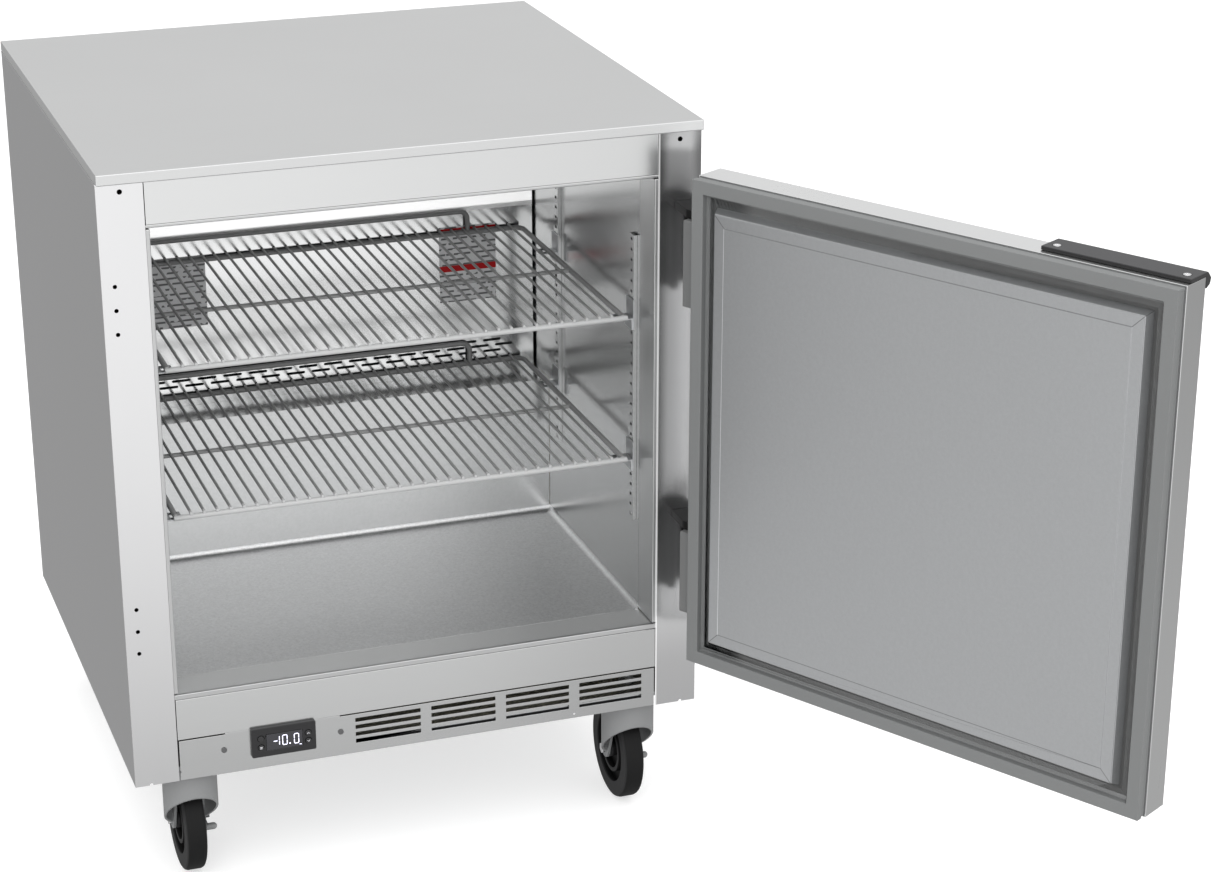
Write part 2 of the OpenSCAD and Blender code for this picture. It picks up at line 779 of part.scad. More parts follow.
module wheel(i) {
  h = wheel_w/2;
  color("dimgray") translate([caster_at[i][0], caster_at[i][1] + trail, axle_z])
    rotate([0, 90, 0]) rotate_extrude() polygon([[4.06, -h - 1.5], [12, -h - 1.5], [12, -4],
      [26, -4], [26, 1 - h], [31.2, 1 - h], [31.2, -4], [43, -4], [43, -h],
      [wheel_r - 4, -h], [wheel_r - 1.2, 1.4 - h], [wheel_r, 4.5 - h],
      [wheel_r, h - 4.5], [wheel_r - 1.2, h - 1.4], [wheel_r - 4, h], [43, h], [43, 4],
      [31.2, 4], [31.2, h - 1], [26, h - 1], [26, 4], [12, 4], [12, h + 1.5],
      [4.06, h + 1.5]]);
}

module wheel_front_left() { wheel(0); }
module wheel_front_right() { wheel(1); }
module wheel_rear_left() { wheel(2); }
module wheel_rear_right() { wheel(3); }

// Foot brake: a cranked arm beside the wheel that turns on the axle, with a foot peg.
module brake(i) {
  elbow = [trail - 5.3, axle_z - 9];
  foot = [16, axle_z - 9.4];
  color("gray") translate([caster_at[i][0], caster_at[i][1], 0]) difference() {
    union() {
      along_x(18.8, 22.1) {
        translate([trail, axle_z]) circle(r = 6.6);
        for (e = [[[trail, axle_z], elbow], [elbow, foot]])
          hull() for (p = e) translate(p) circle(r = 3.3);
      }
      rod_x(19, 28.2, foot[0], foot[1], 4.2);
      translate([28.2, foot[0], foot[1]]) sphere(r = 4.2);
    }
    rod_x(10, 30, trail, axle_z, 4.06);
  }
}

module brake_left() { brake(0); }
module brake_right() { brake(1); }

// ---- drawing ----

worktop();
side_panel_left();
side_panel_right();
back_panel();
base_pan();
top_rail();
lower_rail();
breaker_strips();
grille_panel();
panel_screws();
controller_body();
controller_window();
button_set();
button_light();
button_up();
button_down();
liner_shell();
liner_floor();
liner_back();
cabinet_insulation();
air_duct_panel();
label_plates();
evaporator_coil();
evaporator_fan_motor();
evaporator_fan();
pilasters();
shelf_clips();
shelf_upper();
shelf_lower();
compressor();
condenser_coil();
condenser_fan_motor();
condenser_fan();
rear_grille();
hinge_plates();
hinge_pins();
caster_plates();
door_skin();
door_foam();
door_liner();
door_gasket();
door_hinge_arms();
door_handle();
handle_screws();
fork_front_left();
fork_front_right();
fork_rear_left();
fork_rear_right();
axle_front_left();
axle_front_right();
axle_rear_left();
axle_rear_right();
wheel_front_left();
wheel_front_right();
wheel_rear_left();
wheel_rear_right();
brake_left();
brake_right();
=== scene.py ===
import math

import bmesh
import bpy
from mathutils import Matrix, Vector


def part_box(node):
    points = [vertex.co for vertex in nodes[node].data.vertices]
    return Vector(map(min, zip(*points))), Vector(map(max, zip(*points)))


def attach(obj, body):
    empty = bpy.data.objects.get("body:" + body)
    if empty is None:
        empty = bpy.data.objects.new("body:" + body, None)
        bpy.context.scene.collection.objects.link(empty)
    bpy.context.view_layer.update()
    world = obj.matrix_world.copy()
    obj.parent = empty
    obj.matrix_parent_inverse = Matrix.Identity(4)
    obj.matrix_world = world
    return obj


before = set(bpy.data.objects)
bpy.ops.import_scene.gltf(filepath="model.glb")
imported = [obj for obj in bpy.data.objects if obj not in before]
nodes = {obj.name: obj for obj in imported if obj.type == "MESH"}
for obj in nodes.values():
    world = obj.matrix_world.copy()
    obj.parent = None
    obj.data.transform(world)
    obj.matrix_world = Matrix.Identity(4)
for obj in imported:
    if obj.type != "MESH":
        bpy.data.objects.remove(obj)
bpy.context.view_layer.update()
scene = bpy.context.scene
MM = 0.001

# The open door, seen from above: direction of its width, direction out of its outer face.
DOOR_U = Vector((0.5, -0.8660254, 0.0))
DOOR_V = Vector((0.8660254, 0.5, 0.0))
HINGE = Vector((0.3243, -0.0345, 0.0))
# Along the door's width, from the hinge axis: edge by the hinges, middle, free edge.
DOOR_NEAR_U, DOOR_MID_U, DOOR_FAR_U = 0.0190, 0.3243, 0.6293
DOOR_HALF_W = 0.3061
# Along its thickness, from the hinge axis: just inside its inner and outer faces.
DOOR_INNER_V, DOOR_OUTER_V = -0.0183, 0.0160
DOOR_LOW_Z, DOOR_TOP_Z = (corner[2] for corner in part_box("door_skin"))
DOOR_MID_Z, DOOR_HALF_H = (DOOR_TOP_Z + DOOR_LOW_Z) / 2, (DOOR_TOP_Z - DOOR_LOW_Z) / 2
# The raised panel's distance from the door's edges, and its border's width.
PAN_INSET, PAN_BORDER = 0.0346, 0.0141
# The right stile's edges, and heights of the sill and of the upper duct sheet.
STILE_IN, STILE_OUT = 0.2916, 0.3424
SILL_Z, DUCT_STEP_Z, DUCT_LIT_Z = 0.260, 0.66085, 0.6665
# Depths of the shelves' front wire and middle support.
WIRE_FRONT_Y, WIRE_MID_Y = 0.0508, 0.240


# ---- materials ----

WHITE = (1.0, 1.0, 1.0, 1.0)
BUMP_DEPTH = 0.0002
FINE_GRAIN, WIDE_GRAIN = 1100, 190     # features per metre across a brushed grain
FINE_SPECK, WIDE_SPECK = 900, 260      # features per metre of an even texture


class Shader:
    """A Principled material with short calls for the nodes that feed it."""

    def __init__(self, name, base, rough, metallic=0.0, **sockets):
        self.mat = bpy.data.materials.new(name)
        self.mat.use_nodes = True
        self.tree = self.mat.node_tree
        self.bsdf = self.tree.nodes["Principled BSDF"]
        self.base, self.rough = base, rough
        self.set("Metallic", metallic)
        self.set("Base Color", (*base, 1.0))
        self.set("Roughness", rough)
        for key, value in sockets.items():
            self.set(key.replace("_", " "), value)

    def set(self, socket, value):
        self.bsdf.inputs[socket].default_value = value

    def node(self, kind, links=None, **props):
        n = self.tree.nodes.new(kind)
        for key, value in props.items():
            setattr(n, key, value)
        for key, value in (links or {}).items():
            if isinstance(value, bpy.types.NodeSocket):
                self.tree.links.new(value, n.inputs[key])
            else:
                n.inputs[key].default_value = value
        return n

    def coords(self, per_metre, centre=(0, 0, 0)):
        """Object coordinates from a centre, times a count per metre on each axis."""
        tc = self.node("ShaderNodeTexCoord")
        m = self.node("ShaderNodeMapping", {"Vector": tc.outputs["Object"]}, vector_type="TEXTURE")
        m.inputs["Location"].default_value = centre
        m.inputs["Scale"].default_value = tuple(1.0 / s for s in per_metre)
        return m.outputs["Vector"]

    def noise(self, per_metre, detail=2.0):
        """Noise from 0 to 1 with a count of features per metre on each axis."""
        n = self.node("ShaderNodeTexNoise", {"Vector": self.coords(per_metre), "Scale": 1.0,
                                             "Detail": detail, "Roughness": 0.5})
        return n.outputs["Fac"]

    def math(self, op, a, b=0.0, clamp=False):
        n = self.node("ShaderNodeMath", operation=op, use_clamp=clamp)
        for i, v in enumerate((a, b)):
            if isinstance(v, bpy.types.NodeSocket):
                self.tree.links.new(v, n.inputs[i])
            else:
                n.inputs[i].default_value = v
        return n.outputs[0]

    def weigh(self, *terms):
        """Sum of weight * (factor - 0.5)."""
        total = None
        for fac, weight in terms:
            t = self.math("MULTIPLY", self.math("SUBTRACT", fac, 0.5), weight)
            total = t if total is None else self.math("ADD", total, t)
        return total

    def axis(self, index):
        """One object coordinate, in metres."""
        return self.node("ShaderNodeSeparateXYZ",
                         {0: self.coords((1, 1, 1))}).outputs[index]

    def normal(self, index):
        """One part of the surface normal."""
        return self.node("ShaderNodeSeparateXYZ", {
            0: self.node("ShaderNodeNewGeometry").outputs["Normal"]}).outputs[index]

    def dot(self, direction):
        """Object coordinate along a direction, in metres."""
        n = self.node("ShaderNodeVectorMath", {0: self.coords((1, 1, 1)), 1: tuple(direction)},
                      operation="DOT_PRODUCT")
        return n.outputs["Value"]

    def step(self, value, at_0, at_1):
        """0 at one value and 1 at the other, smooth between and flat outside."""
        return self.node("ShaderNodeMapRange", {"Value": value, "From Min": at_0,
                                                "From Max": at_1},
                         interpolation_type="SMOOTHSTEP").outputs[0]

    def past(self, value, edge, blur):
        """0 before an edge and 1 past it; a negative blur turns the two round."""
        return self.step(value, edge - blur / 2, edge + blur / 2)

    def both(self, a, b):
        return self.math("MULTIPLY", a, b)

    def away(self, value, centre):
        """Distance of a value from a centre."""
        return self.math("ABSOLUTE", self.math("SUBTRACT", value, centre))

    def glow(self, mask, strength):
        """A faint white fill where the mask is 1."""
        self.set("Emission Color", WHITE)
        self.tree.links.new(self.both(mask, strength), self.bsdf.inputs["Emission Strength"])

    def ramp(self, mask, low, high):
        """low where the mask is 0 and high where it is 1."""
        return self.math("ADD", self.math("MULTIPLY", mask, high - low), low)

    def tint(self, variation, colour=None, scale=None):
        """Base colour times 1 + variation and, when given, times scale."""
        factor = self.math("ADD", variation, 1.0)
        if scale is not None:
            factor = self.math("MULTIPLY", factor, scale)
        n = self.node("ShaderNodeVectorMath", operation="SCALE")
        if colour is None:
            n.inputs[0].default_value = self.base
        else:
            self.tree.links.new(colour, n.inputs[0])
        self.tree.links.new(factor, n.inputs["Scale"])
        self.tree.links.new(n.outputs[0], self.bsdf.inputs["Base Color"])

    def vary_rough(self, variation):
        self.tree.links.new(self.math("ADD", variation, self.rough, clamp=True),
                            self.bsdf.inputs["Roughness"])

    def bump(self, height, strength):
        n = self.node("ShaderNodeBump", {"Height": height, "Strength": strength,
                                         "Distance": BUMP_DEPTH})
        self.tree.links.new(n.outputs[0], self.bsdf.inputs["Normal"])

    def mix(self, fac, a, b):
        """Colour mix of two colours by a factor socket."""
        n = self.node("ShaderNodeMix", data_type="RGBA")
        for i, v in ((0, fac), (6, a), (7, b)):
            if isinstance(v, bpy.types.NodeSocket):
                self.tree.links.new(v, n.inputs[i])
            else:
                n.inputs[i].default_value = (*v, 1.0) if isinstance(v, tuple) else v
        return n.outputs[2]


def steel(name, base, rough, grain=None, line=0.016, speck=0.012, wear=0.03, look=None):
    """Sheet steel. grain is "x", "y", "z" or None for a fine even texture.

    look(s) returns three sockets or None: one multiplies the colour, one is added to the
    roughness and one is the metallic amount.
    """
    s = Shader(name, base, rough, 1.0)
    smudge = s.noise((4, 4, 4), 3.0)
    if grain is None:
        fine = s.noise([FINE_SPECK] * 3, 1.0)
        wide = s.noise([WIDE_SPECK] * 3, 2.0)
    else:
        along = "xyz".index(grain)
        fine = s.noise([18 if i == along else FINE_GRAIN for i in range(3)], 2.0)
        wide = s.noise([3 if i == along else WIDE_GRAIN for i in range(3)], 3.0)
    shade, roughen, metal = look(s) if look else (None, None, None)
    s.tint(s.weigh((fine, line), (wide, line), (smudge, wear)), scale=shade)
    dull = s.weigh((fine, speck * 2), (wide, speck * 2), (smudge, wear * 2))
    s.vary_rough(dull if roughen is None else s.math("ADD", dull, roughen))
    if metal is not None:
        s.tree.links.new(metal, s.bsdf.inputs["Metallic"])
    s.bump(s.math("ADD", s.both(fine, 0.6), s.both(wide, 0.4)), 0.035)
    return s.mat


def paint(name, base, rough, metallic=0.0, scale=420, variation=0.05, relief=0.12, look=None,
          **sockets):
    """Plastic, rubber or powder coat with a fine moulded or sprayed texture."""
    s = Shader(name, base, rough, metallic, **sockets)
    fine = s.noise((scale, scale, scale), 2.0)
    dust = s.noise((9, 9, 9), 3.0)
    s.tint(s.weigh((fine, variation), (dust, variation * 1.5)), scale=look(s) if look else None)
    s.vary_rough(s.weigh((fine, 0.06), (dust, 0.10)))
    s.bump(fine, relief)
    return s.mat


def side_look(s):
    """The front stiles are smoother and brighter; the right one has shaded edges and a fold."""
    x, z = s.axis(0), s.axis(2)
    front = s.past(s.axis(1), 0.0016, -0.0008)
    inner_shade = s.both(s.step(x, STILE_IN + 0.0144, STILE_IN + 0.0014), 0.35)
    outer_shade = s.both(s.step(x, STILE_OUT - 0.0144, STILE_OUT - 0.0004), 0.30)
    edges = s.both(s.math("ADD", inner_shade, outer_shade), s.step(z, 0.30, 0.42))
    ends = s.math("ADD", s.both(s.step(z, 0.74, 0.82), 0.36), s.both(s.step(z, 0.30, 0.20), 0.22))
    shaded = s.both(s.step(x, 0.0, 0.01), s.math("ADD", edges, ends))
    fold = s.both(s.past(x, STILE_IN - 0.0006, 0.001), s.past(x, STILE_IN + 0.0014, -0.001))
    s.glow(s.both(front, fold), 0.5)
    gain = s.both(s.ramp(front, 1.0, 1.24), s.math("SUBTRACT", 1.0, s.both(front, shaded)))
    return gain, s.ramp(front, 0.0, -0.12), None


def breaker_look(s):
    """The sill strip is paler than the strips beside the opening."""
    sill = s.both(s.past(s.axis(2), SILL_Z, -0.004), s.step(s.axis(1), 0.003, 0.006))
    return s.ramp(sill, 1.0, 1.5), None, s.ramp(sill, 1.0, 0.55)


def lower_right_look(s):
    """The low front sheets are a little darker towards the right."""
    low = s.both(s.step(s.axis(2), 0.30, 0.25), s.step(s.axis(0), 0.0, 0.29))
    return s.ramp(low, 1.0, 0.86), None, None


def duct_look(s):
    """The upper sheet is duller than the polished lower one, and lit along its lower part."""
    z = s.axis(2)
    upper = s.past(z, DUCT_STEP_Z, 0.0007)
    lit = s.both(s.past(z, DUCT_LIT_Z, 0.002), s.step(z, 0.740, 0.686))
    s.glow(s.both(lit, s.ramp(s.step(s.axis(0), 0.0, 0.27), 1.0, 0.9)), 0.62)
    return s.ramp(upper, 1.0, 1.28), s.ramp(upper, 0.02, 0.36), s.ramp(upper, 1.0, 0.35)


def door_look(s):
    """A brighter folded top edge, a duller free edge, a paler hinge edge, a duller outer face."""
    u = s.math("SUBTRACT", s.dot(DOOR_U), HINGE.dot(DOOR_U))
    v = s.math("SUBTRACT", s.dot(DOOR_V), HINGE.dot(DOOR_V))
    top = s.past(s.axis(2), DOOR_TOP_Z - 0.0005, 0.0006)
    free = s.both(s.past(u, DOOR_FAR_U, 0.0006), s.past(v, DOOR_INNER_V, 0.0006))
    outer = s.past(v, DOOR_OUTER_V, 0.001)
    s.glow(s.past(u, DOOR_NEAR_U, -0.001), 0.2)
    shade = s.math("ADD", s.ramp(top, 1.0, 1.22), s.ramp(free, 0.0, -0.34))
    return s.both(shade, s.ramp(outer, 1.0, 0.76)), None, None


def on_pan(s):
    """Place across the door, and how far inside the raised panel's side and end edges."""
    u = s.math("SUBTRACT", s.dot(DOOR_U), HINGE.dot(DOOR_U) + DOOR_MID_U)
    du = s.math("SUBTRACT", DOOR_HALF_W - PAN_INSET, s.math("ABSOLUTE", u))
    dz = s.math("SUBTRACT", DOOR_HALF_H - PAN_INSET, s.away(s.axis(2), DOOR_MID_Z))
    return u, du, dz


def gasket_look(s):
    """The low inner ring catches light from the raised panel, except beside the hinges."""
    u, du, dz = on_pan(s)
    inner = s.past(s.math("MINIMUM", du, dz), -0.0175, 0.0006)
    s.glow(s.both(inner, s.step(u, -0.25, -0.22)), 0.065)
    return s.ramp(inner, 1.0, 0.95)


def pan_look(s):
    """Shaded sides, thin mitre lines and a fine step round the raised panel's field."""
    u, du, dz = on_pan(s)
    inside = s.math("MINIMUM", du, dz)
    side = s.past(inside, 0.0, -0.0004)
    outer = s.past(inside, -0.0185, -0.001)
    border = s.past(inside, PAN_BORDER, -0.0008)
    mitre = s.both(s.step(s.away(du, dz), 0.00075, 0.00035), border)
    rim = s.step(s.away(inside, PAN_BORDER), 0.0007, 0.0004)
    level = s.past(s.math("SUBTRACT", du, dz), 0.0, 0.001)
    rim_left = s.both(s.both(rim, s.step(u, 0.0, -0.01)), s.math("SUBTRACT", 1.0, level))
    s.glow(rim_left, 0.22)
    shade = s.both(s.ramp(mitre, 1.0, 0.45), s.ramp(side, 1.0, 0.95))
    shade = s.both(shade, s.ramp(outer, 1.0, 0.35))
    shade = s.both(shade, s.ramp(s.both(rim, level), 1.0, 0.62))
    return s.both(shade, s.ramp(rim_left, 1.0, 1.6)), s.ramp(side, 0.0, 0.1), s.ramp(outer, 1.0, 0.3)


def wire_look(s):
    """Shaded rear sides, a paler front wire with its wire ends, a paler middle support."""
    y = s.axis(1)
    back = s.step(s.normal(1), 0.40, 0.75)
    front = s.past(y, WIRE_FRONT_Y, -0.0008)
    middle = s.step(s.away(y, WIRE_MID_Y), 0.0032, 0.0028)
    pale = s.math("ADD", s.ramp(front, 1.0, 1.9), s.ramp(middle, 0.0, 0.25))
    return s.both(pale, s.ramp(back, 1.0, 0.10))


def handle_look(s):
    """The top of the handle is paler than its lip and ends."""
    return s.ramp(s.step(s.normal(2), 0.5, 0.8), 0.30, 0.85)


def foam_look(s):
    """Foam is dark right behind the front sheets, where only the holes show it."""
    return s.ramp(s.step(s.axis(1), 0.030, 0.055), 0.01, 1.0)


MATERIALS = {
    "top": steel("steel_top", (0.73, 0.735, 0.735), 0.38, "x"),
    "side": steel("steel_side", (0.60, 0.60, 0.605), 0.34, "z", look=side_look),
    "rail": steel("steel_rail", (0.69, 0.695, 0.695), 0.24, "x", look=lower_right_look),
    "grille": steel("steel_grille", (0.61, 0.615, 0.615), 0.26, "x", look=lower_right_look),
    "liner": steel("steel_liner", (0.525, 0.53, 0.53), 0.22, line=0.16),
    "mirror": steel("steel_duct", (0.74, 0.745, 0.745), 0.13, look=duct_look),
    "floor": steel("steel_floor", (0.84, 0.845, 0.85), 0.40, speck=0.04, line=0.34),
    "breaker": steel("steel_breaker", (0.60, 0.605, 0.605), 0.34, line=0.006, speck=0.004,
                     look=breaker_look),
    "door": steel("steel_door", (0.74, 0.745, 0.745), 0.28, "z", line=0.016, speck=0.008,
                  wear=0.02, look=door_look),
    "pan": steel("steel_pan", (0.545, 0.555, 0.565), 0.36, line=0.10, look=pan_look),
    "zinc": steel("zinc", (0.55, 0.56, 0.57), 0.42, wear=0.10),
    "screw": steel("screw_steel", (0.82, 0.82, 0.83), 0.20),
    "coil": steel("coil_fins", (0.70, 0.72, 0.74), 0.35, "z"),
    "black": paint("bezel_plastic", (0.010, 0.010, 0.011), 0.40, scale=1500),
    "window": paint("display_window", (0.030, 0.030, 0.034), 0.12, scale=900, relief=0.02),
    "button": paint("button_plastic", (0.016, 0.016, 0.017), 0.34, scale=1500),
    "foam": paint("foam", (0.84, 0.78, 0.60), 0.9, scale=260, relief=0.6, look=foam_look,
                  Specular_IOR_Level=0.1),
    "motor": paint("motor_paint", (0.10, 0.10, 0.11), 0.45, 0.3),
    "fan": paint("fan_plastic", (0.06, 0.06, 0.065), 0.5),
    "compressor": paint("compressor_paint", (0.015, 0.015, 0.016), 0.30),
    "hinge": paint("hinge_coat", (0.125, 0.127, 0.127), 0.40, 0.0, scale=700),
    "lug": paint("hinge_lug_coat", (0.009, 0.009, 0.0092), 0.45, 0.0, scale=700,
                 Specular_IOR_Level=0.12),
    "dark_screw": paint("dark_screw", (0.12, 0.12, 0.122), 0.35, 0.6, scale=900),
    "gasket": paint("gasket_rubber", (0.140, 0.144, 0.144), 0.62, scale=600, variation=0.03,
                    look=gasket_look),
    "handle": paint("handle_plastic", (0.030, 0.030, 0.032), 0.42, scale=1200,
                    look=handle_look),
    "wire": paint("wire_coat", (0.19, 0.192, 0.192), 0.42, scale=900, look=wire_look),
    "fork": paint("fork_zinc", (0.185, 0.188, 0.190), 0.42, 0.0, scale=700),
}

FINISH = {
    "worktop": "top", "side_panel_left": "side", "side_panel_right": "side",
    "back_panel": "zinc", "base_pan": "zinc", "top_rail": "rail", "lower_rail": "rail",
    "breaker_strips": "breaker", "grille_panel": "grille", "panel_screws": "dark_screw",
    "controller_body": "black", "controller_window": "window", "button_set": "button",
    "button_light": "button", "button_up": "button", "button_down": "button",
    "liner_shell": "liner", "liner_floor": "floor", "liner_back": "liner",
    "cabinet_insulation": "foam", "air_duct_panel": "mirror",
    "evaporator_coil": "coil", "evaporator_fan_motor": "motor", "evaporator_fan": "fan",
    "pilasters": "liner", "shelf_clips": "zinc", "shelf_upper": "wire", "shelf_lower": "wire",
    "compressor": "compressor", "condenser_coil": "coil", "condenser_fan_motor": "motor",
    "condenser_fan": "fan", "rear_grille": "zinc", "hinge_plates": "lug",
    "hinge_pins": "lug", "caster_plates": "zinc", "door_skin": "door", "door_foam": "foam",
    "door_liner": "pan", "door_gasket": "gasket", "door_hinge_arms": "hinge",
    "door_handle": "handle", "handle_screws": "screw", "brake_left": "fork",
    "brake_right": "fork",
}
CASTERS = ("front_left", "front_right", "rear_left", "rear_right")
AXLES = {}
for place in CASTERS:
    FINISH["fork_" + place] = "fork"
    FINISH["axle_" + place] = "screw"
    low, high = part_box("wheel_" + place)
    AXLES[place] = (low + high) / 2


# Wheels: half widths and radii of the paler side ring and of the dark recess inside it.
FLANK_X, FLANK_RADIUS = 0.0103, 0.0615
RECESS_X, RECESS_RADIUS = 0.0070, 0.0430


def wheel_material(place):
    """Tread, side rings and recesses told apart by distance from the axle and the middle."""
    s = Shader("wheel_" + place, (0.006, 0.006, 0.0062), 0.60, Specular_IOR_Level=0.18)
    v = s.node("ShaderNodeSeparateXYZ", {"Vector": s.coords((1, 1, 1), centre=AXLES[place])})
    radius = s.math("SQRT", s.math("ADD", s.math("POWER", v.outputs[1], 2.0),
                                   s.math("POWER", v.outputs[2], 2.0)))
    out = s.math("ABSOLUTE", v.outputs[0])
    flank = s.both(s.past(out, FLANK_X, 0.001), s.past(radius, FLANK_RADIUS, -0.002))
    deep = s.both(s.past(out, RECESS_X, -0.002), s.past(radius, RECESS_RADIUS, -0.001))
    fine = s.noise((500, 500, 500), 2.0)
    dust = s.noise((26, 26, 26), 4.0)
    marks = s.math("ADD", s.both(flank, 2.6), s.both(deep, -0.85))
    s.tint(s.math("ADD", marks, s.weigh((fine, 0.10), (dust, 0.30))))
    s.vary_rough(s.weigh((fine, 0.1), (dust, 0.15)))
    s.bump(s.math("ADD", fine, s.both(dust, 0.5)), 0.2)
    return s.mat


LABEL_ROW = 0.0070
LOW_BAND_Z, TOP_BAND_Z = 0.5858, 0.6378
INK, RED = (0.035, 0.035, 0.037), (0.36, 0.002, 0.004)


def label_material():
    """A grey plate with rows of plain bars; the right-hand plate has two plain red bands."""
    s = Shader("label_print", (0.55, 0.553, 0.56), 0.5, Specular_IOR_Level=0.2)
    x, z = s.axis(0), s.axis(2)
    row = s.math("FRACT", s.both(z, 1 / LABEL_ROW))
    bar = s.both(s.step(row, 0.18, 0.30), s.step(row, 0.66, 0.54))
    breaks = s.step(s.noise((150, 1, 142), 0.0), 0.42, 0.45)
    ink = s.both(s.both(bar, breaks), 0.85)
    band = s.math("MAXIMUM", s.step(s.away(z, LOW_BAND_Z), 0.0042, 0.0038),
                  s.step(s.away(z, TOP_BAND_Z), 0.0016, 0.0013))
    red = s.both(band, s.step(x, 0.0, 0.01))
    grime = s.noise((700, 700, 700), 1.0)
    plate = s.mix(ink, s.base, INK)
    s.tint(s.weigh((grime, 0.06)), colour=s.mix(red, plate, RED))
    s.vary_rough(s.weigh((grime, 0.08)))
    return s.mat


def finish_node(name, material):
    node = nodes[name]
    node.data.materials.clear()
    node.data.materials.append(material)


for name, key in FINISH.items():
    finish_node(name, MATERIALS[key])
for place in CASTERS:
    finish_node("wheel_" + place, wheel_material(place))
finish_node("label_plates", label_material())

# ---- edges ----

# Widths of the rounded edges, in millimetres.
BEVELS = {
    "worktop": 0.9, "top_rail": 0.4,
    "lower_rail": 0.4, "grille_panel": 0.35, "back_panel": 0.4, "base_pan": 0.5,
    "breaker_strips": 1.0, "controller_body": 0.6, "controller_window": 0.3,
    "panel_screws": 0.5, "door_skin": 0.45, "door_liner": 0.4, "door_gasket": 0.8,
    "door_hinge_arms": 0.8, "hinge_plates": 0.8, "door_handle": 1.2, "handle_screws": 0.5,
    "hinge_pins": 0.5, "caster_plates": 0.6, "shelf_clips": 0.3, "pilasters": 0.25,
    "label_plates": 0.1, "compressor": 1.5, "liner_back": 0.4,
    "button_set": 0.5, "button_light": 0.5, "button_up": 0.5, "button_down": 0.5,
    "brake_left": 0.5, "brake_right": 0.5,
}
for place in CASTERS:
    BEVELS["wheel_" + place] = 0.8
    BEVELS["fork_" + place] = 0.5
    BEVELS["axle_" + place] = 0.5


def soften(obj, width_mm):
    """Rounded edges with smooth shading; flat faces are joined first."""
    weld = obj.modifiers.new("weld", "WELD")
    weld.merge_threshold = 1e-5
    flat = obj.modifiers.new("flat", "DECIMATE")
    flat.decimate_type = "DISSOLVE"
    flat.angle_limit = math.radians(0.5)
    bevel = obj.modifiers.new("bevel", "BEVEL")
    bevel.width = width_mm * MM
    bevel.segments = 2
    bevel.limit_method = "ANGLE"
    bevel.angle_limit = math.radians(32)
    bevel.use_clamp_overlap = False
    bevel.miter_outer = "MITER_ARC"
    shade = obj.modifiers.new("normals", "WEIGHTED_NORMAL")
    shade.keep_sharp = True
    shade.weight = 60


for name, width in BEVELS.items():
    soften(nodes[name], width)


# ---- pieces made here ----

def new_object(name, bm, material, body):
    """A piece from a bmesh, riding on a body and looking like a slot."""
    mesh = bpy.data.meshes.new(name)
    bm.normal_update()
    bm.to_mesh(mesh)
    bm.free()
    obj = bpy.data.objects.new(name, mesh)
    scene.collection.objects.link(obj)
    obj.data.materials.append(material)
    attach(obj, body)
    return obj


def prism(bm, points, y0, y1):
    """A closed prism of an outline in X and Z, in millimetres, from y0 (front) to y1."""
    front = [bm.verts.new((x * MM, y0 * MM, z * MM)) for x, z in points]
    back = [bm.verts.new((x * MM, y1 * MM, z * MM)) for x, z in points]
    turn = sum(points[i - 1][0] * points[i][1] - points[i][0] * points[i - 1][1]
               for i in range(len(points)))
    if turn < 0:
        front.reverse()
        back.reverse()
    bm.faces.new(front)
    bm.faces.new(list(reversed(back)))
    n = len(points)
    for i in range(n):
        j = (i + 1) % n
        bm.faces.new((front[j], front[i], back[i], back[j]))


def segment(bm, x0, z0, x1, z1, width, y0, y1):
    """A bar between two points; a bar longer than its width has pointed ends."""
    a, b = Vector((x0, z0)), Vector((x1, z1))
    along = (b - a).normalized()
    side = Vector((-along.y, along.x)) * width / 2
    tip = along * width * 0.45
    points = [a + side, b + side, b - side, a - side]
    if (b - a).length > width:
        points = [a - tip, a + side, b + side, b + tip, b - side, a - side]
    prism(bm, [tuple(p) for p in points], y0, y1)


# Each segment of a digit from corner to corner, in widths and heights of the digit.
SEGMENTS = {"a": (0, 1, 1, 1), "b": (1, .5, 1, 1), "c": (1, 0, 1, .5), "d": (0, 0, 1, 0),
            "e": (0, 0, 0, .5), "f": (0, .5, 0, 1), "g": (0, .5, 1, .5)}
SEGMENT_W, SEGMENT_GAP = 0.95, 0.7
LIT_Y = (-5.45, -5.15)
ICON_Y = (-6.0, -5.75)
ICON_W = 0.55


def digit(bm, x0, x1, z0, z1, lit):
    """The lit segments of a digit that fills a box in X and Z, in millimetres."""
    for key in lit:
        ax, az, bx, bz = SEGMENTS[key]
        p = Vector((x0 + (x1 - x0) * ax, z0 + (z1 - z0) * az))
        q = Vector((x0 + (x1 - x0) * bx, z0 + (z1 - z0) * bz))
        gap = (q - p).normalized() * SEGMENT_GAP
        segment(bm, *(p + gap), *(q - gap), SEGMENT_W, *LIT_Y)


def block(bm, x0, x1, z0, z1, y0, y1):
    prism(bm, [(x0, z0), (x1, z0), (x1, z1), (x0, z1)], y0, y1)


